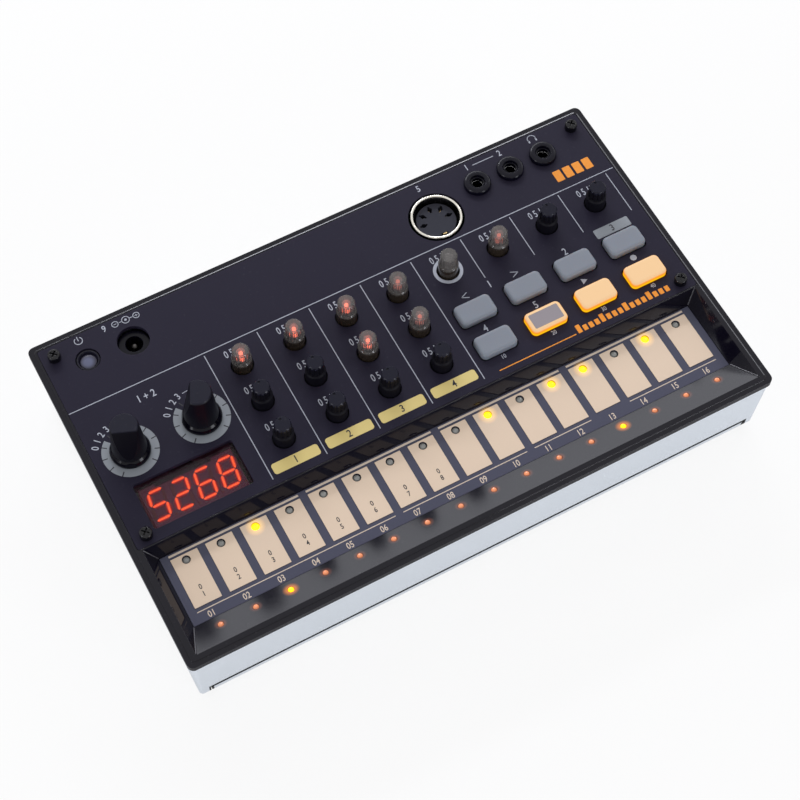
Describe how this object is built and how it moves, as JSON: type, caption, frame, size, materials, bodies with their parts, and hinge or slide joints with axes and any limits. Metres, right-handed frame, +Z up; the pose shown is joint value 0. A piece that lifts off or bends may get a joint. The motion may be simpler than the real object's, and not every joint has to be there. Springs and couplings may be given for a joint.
{
  "type": "drum machine",
  "caption": "Desktop drum machine with a sunken row of touch keys, a digit display, small fluted knobs, two tall dials, lit buttons, sockets on the panel and a slide-off battery cover.",
  "frame": {"origin": "middle of the footprint on the table, under the rubber feet", "axes": "+X to the right along the long side, +Y to the back, +Z up"},
  "size_m": [0.193, 0.115, 0.046],
  "materials": {
    "case_silver": "satin silver paint on a moulded case",
    "rubber_foot": "matt rubber",
    "cell_wrap": "printed sleeve on a battery cell, plain",
    "spring_steel": "nickel plated spring steel",
    "smoked_cover": "polished smoked black plastic",
    "matt_panel": "fine matt black panel with grey print",
    "red_lens": "dark red display lens",
    "display_body": "moulded display body",
    "green_board": "solder mask on a printed circuit board",
    "touch_keys": "satin cream print on a touch board",
    "amber_led": "clear amber light",
    "red_led": "clear red light",
    "switch_body": "moulded switch and pot bodies",
    "zinc": "zinc plated steel",
    "socket_black": "moulded black socket",
    "bright_shell": "nickel plated shell",
    "black_screw": "black oxide screw",
    "paper_cone": "pressed paper cone",
    "power_cap": "dark bluish translucent cap",
    "dial_black": "soft black moulding with a glossy skirt",
    "black_knob": "soft black moulding",
    "clear_knob": "cloudy translucent moulding",
    "grey_button": "matt grey silicone",
    "lit_button": "milky silicone lit amber from below"
  },
  "bodies": {
    "root": {"bottom_case": "case_silver", "rear_feet": "rubber_foot", "batteries": "cell_wrap", "battery_contacts": "spring_steel", "top_cover": "smoked_cover", "top_panel": "matt_panel", "display_window": "red_lens", "display_module": "display_body", "main_board": "green_board", "touch_board": "touch_keys", "step_leds": "amber_led", "led_strip_board": "green_board", "part_leds": "amber_led", "tact_switches": "switch_body", "small_pots": "switch_body", "large_pots": "zinc", "control_leds": "red_led", "dc_jack": "socket_black", "dc_jack_pin": "spring_steel", "din_socket_shell": "bright_shell", "din_socket_insert": "socket_black", "phone_jacks": "socket_black", "jack_collars": "socket_black", "panel_screws": "black_screw", "case_screws": "zinc", "board_screws": "zinc", "speaker_frame": "zinc", "speaker_cone": "paper_cone"},
    "battery_cover": {"battery_cover": "case_silver", "front_feet": "rubber_foot"},
    "power_button": {"power_button": "power_cap"},
    "left_dial": {"left_dial": "dial_black", "left_dial_shaft": "zinc"},
    "right_dial": {"right_dial": "dial_black", "right_dial_shaft": "zinc"},
    "clear_knob_1": {"clear_knob_1": "clear_knob"},
    "clear_knob_2": {"clear_knob_2": "clear_knob"},
    "clear_knob_3": {"clear_knob_3": "clear_knob"},
    "clear_knob_4": {"clear_knob_4": "clear_knob"},
    "clear_knob_5": {"clear_knob_5": "clear_knob"},
    "clear_knob_6": {"clear_knob_6": "clear_knob"},
    "clear_knob_7": {"clear_knob_7": "clear_knob"},
    "clear_knob_8": {"clear_knob_8": "clear_knob"},
    "black_knob_1": {"black_knob_1": "black_knob"},
    "black_knob_2": {"black_knob_2": "black_knob"},
    "black_knob_3": {"black_knob_3": "black_knob"},
    "black_knob_4": {"black_knob_4": "black_knob"},
    "black_knob_5": {"black_knob_5": "black_knob"},
    "black_knob_6": {"black_knob_6": "black_knob"},
    "black_knob_7": {"black_knob_7": "black_knob"},
    "black_knob_8": {"black_knob_8": "black_knob"},
    "button_1": {"button_1": "grey_button"},
    "button_2": {"button_2": "grey_button"},
    "button_3": {"button_3": "grey_button"},
    "button_4": {"button_4": "grey_button"},
    "button_5": {"button_5": "grey_button"},
    "button_6": {"button_6": "lit_button"},
    "button_7": {"button_7": "lit_button"},
    "button_8": {"button_8": "lit_button"}
  },
  "joints": [
    {"name": "left_dial_turn", "type": "hinge", "parent": "root", "child": "left_dial", "pos_m": [-0.0828, 0.01175, 0.03], "axis": [0, 0, 1], "range_deg": [-140, 140]},
    {"name": "right_dial_turn", "type": "hinge", "parent": "root", "child": "right_dial", "pos_m": [-0.0597, 0.01175, 0.03], "axis": [0, 0, 1], "range_deg": [-140, 140]},
    {"name": "clear_knob_1_turn", "type": "hinge", "parent": "root", "child": "clear_knob_1", "pos_m": [-0.0414, 0.02215, 0.03], "axis": [0, 0, 1], "range_deg": [-140, 140]},
    {"name": "clear_knob_2_turn", "type": "hinge", "parent": "root", "child": "clear_knob_2", "pos_m": [-0.02379, 0.02215, 0.03], "axis": [0, 0, 1], "range_deg": [-140, 140]},
    {"name": "clear_knob_3_turn", "type": "hinge", "parent": "root", "child": "clear_knob_3", "pos_m": [-0.00617, 0.02215, 0.03], "axis": [0, 0, 1], "range_deg": [-140, 140]},
    {"name": "clear_knob_4_turn", "type": "hinge", "parent": "root", "child": "clear_knob_4", "pos_m": [-0.00617, 0.00823, 0.03], "axis": [0, 0, 1], "range_deg": [-140, 140]},
    {"name": "clear_knob_5_turn", "type": "hinge", "parent": "root", "child": "clear_knob_5", "pos_m": [0.01144, 0.02215, 0.03], "axis": [0, 0, 1], "range_deg": [-140, 140]},
    {"name": "clear_knob_6_turn", "type": "hinge", "parent": "root", "child": "clear_knob_6", "pos_m": [0.01144, 0.00823, 0.03], "axis": [0, 0, 1], "range_deg": [-140, 140]},
    {"name": "clear_knob_7_turn", "type": "hinge", "parent": "root", "child": "clear_knob_7", "pos_m": [0.02906, 0.02215, 0.03], "axis": [0, 0, 1], "range_deg": [-140, 140]},
    {"name": "clear_knob_8_turn", "type": "hinge", "parent": "root", "child": "clear_knob_8", "pos_m": [0.04667, 0.02215, 0.03], "axis": [0, 0, 1], "range_deg": [-140, 140]},
    {"name": "black_knob_1_turn", "type": "hinge", "parent": "root", "child": "black_knob_1", "pos_m": [-0.0414, 0.00823, 0.03], "axis": [0, 0, 1], "range_deg": [-140, 140]},
    {"name": "black_knob_2_turn", "type": "hinge", "parent": "root", "child": "black_knob_2", "pos_m": [-0.0414, -0.00569, 0.03], "axis": [0, 0, 1], "range_deg": [-140, 140]},
    {"name": "black_knob_3_turn", "type": "hinge", "parent": "root", "child": "black_knob_3", "pos_m": [-0.02379, 0.00823, 0.03], "axis": [0, 0, 1], "range_deg": [-140, 140]},
    {"name": "black_knob_4_turn", "type": "hinge", "parent": "root", "child": "black_knob_4", "pos_m": [-0.02379, -0.00569, 0.03], "axis": [0, 0, 1], "range_deg": [-140, 140]},
    {"name": "black_knob_5_turn", "type": "hinge", "parent": "root", "child": "black_knob_5", "pos_m": [-0.00617, -0.00569, 0.03], "axis": [0, 0, 1], "range_deg": [-140, 140]},
    {"name": "black_knob_6_turn", "type": "hinge", "parent": "root", "child": "black_knob_6", "pos_m": [0.01144, -0.00569, 0.03], "axis": [0, 0, 1], "range_deg": [-140, 140]},
    {"name": "black_knob_7_turn", "type": "hinge", "parent": "root", "child": "black_knob_7", "pos_m": [0.06429, 0.02215, 0.03], "axis": [0, 0, 1], "range_deg": [-140, 140]},
    {"name": "black_knob_8_turn", "type": "hinge", "parent": "root", "child": "black_knob_8", "pos_m": [0.0819, 0.02215, 0.03], "axis": [0, 0, 1], "range_deg": [-140, 140]},
    {"name": "button_1_press", "type": "slide", "parent": "root", "child": "button_1", "axis": [0, 0, -1], "range_m": [0, 0.0008], "stiffness_N_per_m": 800},
    {"name": "button_2_press", "type": "slide", "parent": "root", "child": "button_2", "axis": [0, 0, -1], "range_m": [0, 0.0008], "stiffness_N_per_m": 800},
    {"name": "button_3_press", "type": "slide", "parent": "root", "child": "button_3", "axis": [0, 0, -1], "range_m": [0, 0.0008], "stiffness_N_per_m": 800},
    {"name": "button_4_press", "type": "slide", "parent": "root", "child": "button_4", "axis": [0, 0, -1], "range_m": [0, 0.0008], "stiffness_N_per_m": 800},
    {"name": "button_5_press", "type": "slide", "parent": "root", "child": "button_5", "axis": [0, 0, -1], "range_m": [0, 0.0008], "stiffness_N_per_m": 800},
    {"name": "button_6_press", "type": "slide", "parent": "root", "child": "button_6", "axis": [0, 0, -1], "range_m": [0, 0.0008], "stiffness_N_per_m": 800},
    {"name": "button_7_press", "type": "slide", "parent": "root", "child": "button_7", "axis": [0, 0, -1], "range_m": [0, 0.0008], "stiffness_N_per_m": 800},
    {"name": "button_8_press", "type": "slide", "parent": "root", "child": "button_8", "axis": [0, 0, -1], "range_m": [0, 0.0008], "stiffness_N_per_m": 800},
    {"name": "power_button_press", "type": "slide", "parent": "root", "child": "power_button", "axis": [0, 0, -1], "range_m": [0, 0.0008], "stiffness_N_per_m": 800},
    {"name": "battery_cover_slide", "type": "slide", "parent": "root", "child": "battery_cover", "axis": [0, -1, 0], "range_m": [0, 0.04]}
  ]
}
